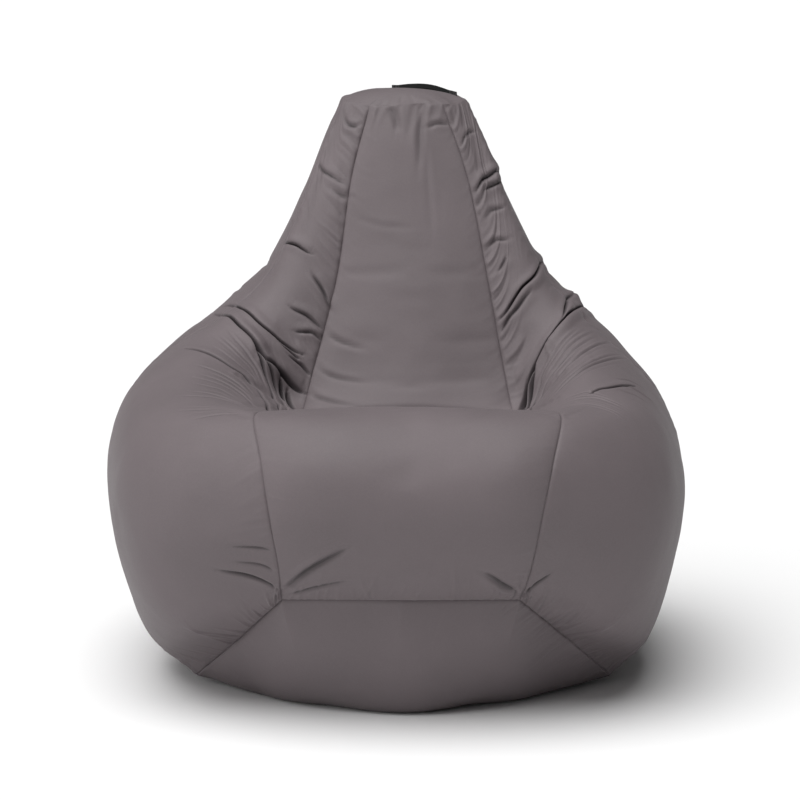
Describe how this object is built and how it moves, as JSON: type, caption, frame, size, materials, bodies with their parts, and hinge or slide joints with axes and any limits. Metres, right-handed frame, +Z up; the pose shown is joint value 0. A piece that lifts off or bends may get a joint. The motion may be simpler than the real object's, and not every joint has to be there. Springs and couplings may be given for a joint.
{
  "type": "bean bag chair",
  "caption": "Pear-shaped bean bag chair: gored fabric cover with a raised backrest, a sagging seat with a front roll, a webbing carry strap on top and a zip at the back.",
  "frame": {"origin": "on the floor, under the middle of the chair's outline", "axes": "+Z up, -Y towards the front of the seat, +X to the right of someone looking at the chair from the front"},
  "size_m": [0.882, 0.9002, 0.8808],
  "materials": {
    "cover_fabric": "taupe grey coated polyester, fine plain weave, soft sheen",
    "liner_nonwoven": "white spun-bonded non-woven",
    "foam_beads": "white expanded polystyrene beads",
    "webbing": "black polypropylene webbing",
    "zip_tape": "dark taupe woven tape",
    "zip_coil": "dark taupe nylon coil",
    "zip_metal": "satin grey lacquered zinc"
  },
  "bodies": {
    "bag": {"cover_gore_front": "cover_fabric", "cover_gore_front_left": "cover_fabric", "cover_gore_front_right": "cover_fabric", "cover_gore_back_left": "cover_fabric", "cover_gore_back_right": "cover_fabric", "cover_gore_back": "cover_fabric", "cover_base_panel": "cover_fabric", "cover_top_cap": "cover_fabric", "liner_gore_front": "liner_nonwoven", "liner_gore_front_left": "liner_nonwoven", "liner_gore_front_right": "liner_nonwoven", "liner_gore_back_left": "liner_nonwoven", "liner_gore_back_right": "liner_nonwoven", "liner_gore_back": "liner_nonwoven", "liner_base_panel": "liner_nonwoven", "liner_top_cap": "liner_nonwoven", "bead_filling": "foam_beads", "handle_end_left": "webbing", "handle_end_right": "webbing", "zip_tape_left": "zip_tape", "zip_tape_right": "zip_tape", "zip_coil_left": "zip_coil", "zip_coil_right": "zip_coil", "zip_top_stop_left": "zip_metal", "zip_top_stop_right": "zip_metal", "zip_bottom_stop": "zip_metal"},
    "zip_slider": {"zip_slider": "zip_metal"},
    "zip_pull": {"zip_pull": "zip_metal"},
    "handle": {"handle_loop": "webbing"}
  },
  "joints": [
    {"name": "zip_slide", "type": "slide", "parent": "bag", "child": "zip_slider", "axis": [-0.2655, -0.1798, 0.9472], "range_m": [0, 0.352]},
    {"name": "zip_pull_hinge", "type": "hinge", "parent": "zip_slider", "child": "zip_pull", "pos_m": [0.21388, 0.38645, 0.36994], "axis": [0.8549, -0.4981, 0.145], "range_deg": [0, 170]},
    {"name": "handle_lift", "type": "slide", "parent": "bag", "child": "handle", "axis": [0, 0, 1], "range_m": [0, 0.025]}
  ]
}
